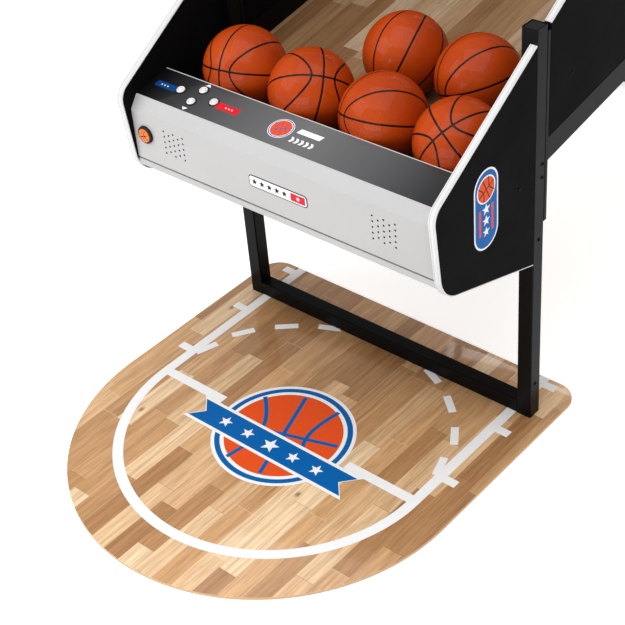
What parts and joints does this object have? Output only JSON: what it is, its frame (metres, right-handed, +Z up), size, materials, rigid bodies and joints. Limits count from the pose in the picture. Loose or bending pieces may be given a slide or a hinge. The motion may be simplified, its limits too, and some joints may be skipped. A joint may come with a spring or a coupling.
{
  "type": "basketball hoop machine",
  "caption": "Free-standing arcade hoop-shooting machine: ball ramp with loose balls, push-button front, hoop and net on a backboard, scoreboard, side nets and a court-print floor board.",
  "frame": {"origin": "bottom centre of the bounding box, on the floor", "axes": "+Y from the player towards the hoop, +X to the player's right, +Z up"},
  "size_m": [1.034, 2.607, 2.149],
  "materials": {
    "steel_black": "gloss powder coat",
    "board_black": "black laminated board",
    "trim_white": "satin edge moulding",
    "fascia_grey": "satin light grey paint",
    "deck_film": "dark printed overlay film",
    "court_wood": "printed maple court pattern",
    "plastic_black": "moulded",
    "plastic_white": "gloss",
    "plastic_orange": "gloss",
    "ball_rubber": "pebbled, satin",
    "steel_orange": "gloss powder coat",
    "board_white": "white laminate, printed",
    "nylon_white": "knotted nylon",
    "cord_black": "knotted polyester",
    "lens_smoked": "smoked acrylic",
    "circuit_green": "solder mask",
    "steel_zinc": "zinc plated",
    "speaker_black": "paper cone and steel basket"
  },
  "bodies": {
    "cabinet": {"floor_mat": "court_wood", "ramp_board": "court_wood", "front_post_left": "steel_black", "front_post_right": "steel_black", "front_foot_bar": "steel_black", "front_cross_bar": "steel_black", "rear_post_left": "steel_black", "rear_post_right": "steel_black", "rear_foot_bar": "steel_black", "top_cross_bar": "steel_black", "side_rail_left": "steel_black", "side_rail_right": "steel_black", "ramp_bearer": "steel_black", "cabinet_tray": "steel_black", "net_frame_left": "steel_black", "net_frame_right": "steel_black", "lower_side_panel_left": "board_black", "lower_side_panel_right": "board_black", "upper_side_panel_left": "board_black", "upper_side_panel_right": "board_black", "ball_stop": "board_black", "rear_lower_panel": "board_black", "lower_edge_trim_left": "trim_white", "lower_edge_trim_right": "trim_white", "upper_edge_trim_left": "trim_white", "upper_edge_trim_right": "trim_white", "fascia": "fascia_grey", "fascia_lip": "fascia_grey", "control_panel": "deck_film", "post_cap_left": "plastic_black", "post_cap_right": "plastic_black", "keypad_frame": "plastic_black", "start_bezel": "plastic_black", "scoreboard_housing": "plastic_black", "power_inlet": "plastic_black", "hoop_rim": "steel_orange", "rim_bracket": "steel_orange", "backboard": "board_white", "hoop_net": "nylon_white", "side_net_left": "cord_black", "side_net_right": "cord_black", "scoreboard_lens": "lens_smoked", "control_board": "circuit_green", "display_board": "circuit_green", "lever_bracket": "steel_zinc", "speaker_left": "speaker_black", "speaker_right": "speaker_black"},
    "select_button": {"select_button": "plastic_white"},
    "up_button": {"up_button": "plastic_white"},
    "down_button": {"down_button": "plastic_white"},
    "game_button": {"game_button": "plastic_white"},
    "start_button": {"start_button": "plastic_orange"},
    "score_lever": {"score_lever": "plastic_black"},
    "power_rocker": {"power_rocker": "plastic_black"},
    "ball_1": {"ball_1": "ball_rubber"},
    "ball_2": {"ball_2": "ball_rubber"},
    "ball_3": {"ball_3": "ball_rubber"},
    "ball_4": {"ball_4": "ball_rubber"},
    "ball_5": {"ball_5": "ball_rubber"},
    "ball_6": {"ball_6": "ball_rubber"}
  },
  "joints": [
    {"name": "select_button_press", "type": "slide", "parent": "cabinet", "child": "select_button", "axis": [0, 0.1909, -0.9816], "range_m": [0, 0.0025], "stiffness_N_per_m": 400, "springref_m": -0.0015},
    {"name": "up_button_press", "type": "slide", "parent": "cabinet", "child": "up_button", "axis": [0, 0.1909, -0.9816], "range_m": [0, 0.0025], "stiffness_N_per_m": 400, "springref_m": -0.0015},
    {"name": "down_button_press", "type": "slide", "parent": "cabinet", "child": "down_button", "axis": [0, 0.1909, -0.9816], "range_m": [0, 0.0025], "stiffness_N_per_m": 400, "springref_m": -0.0015},
    {"name": "game_button_press", "type": "slide", "parent": "cabinet", "child": "game_button", "axis": [0, 0.1909, -0.9816], "range_m": [0, 0.0025], "stiffness_N_per_m": 400, "springref_m": -0.0015},
    {"name": "start_button_press", "type": "slide", "parent": "cabinet", "child": "start_button", "axis": [0, 1, 0], "range_m": [0, 0.004], "stiffness_N_per_m": 500, "springref_m": -0.0015},
    {"name": "score_lever_swing", "type": "hinge", "parent": "cabinet", "child": "score_lever", "pos_m": [0, 1.1915, 1.225], "axis": [1, 0, 0], "range_deg": [0, 45], "stiffness_Nm_per_rad": 0.5, "springref_deg": -34.38},
    {"name": "power_rocker_tip", "type": "hinge", "parent": "cabinet", "child": "power_rocker", "pos_m": [0.3455, 1.2995, 2.039], "axis": [1, 0, 0], "range_deg": [0, 20]},
    {"name": "ball_1_lift", "type": "slide", "parent": "cabinet", "child": "ball_1", "axis": [0, 0, 1], "range_m": [0, 0.45]},
    {"name": "ball_2_lift", "type": "slide", "parent": "cabinet", "child": "ball_2", "axis": [0, 0, 1], "range_m": [0, 0.45]},
    {"name": "ball_3_lift", "type": "slide", "parent": "cabinet", "child": "ball_3", "axis": [0, 0, 1], "range_m": [0, 0.45]},
    {"name": "ball_4_lift", "type": "slide", "parent": "cabinet", "child": "ball_4", "axis": [0, 0, 1], "range_m": [0, 0.45]},
    {"name": "ball_5_lift", "type": "slide", "parent": "cabinet", "child": "ball_5", "axis": [0, 0, 1], "range_m": [0, 0.45]},
    {"name": "ball_6_lift", "type": "slide", "parent": "cabinet", "child": "ball_6", "axis": [0, 0, 1], "range_m": [0, 0.45]}
  ]
}
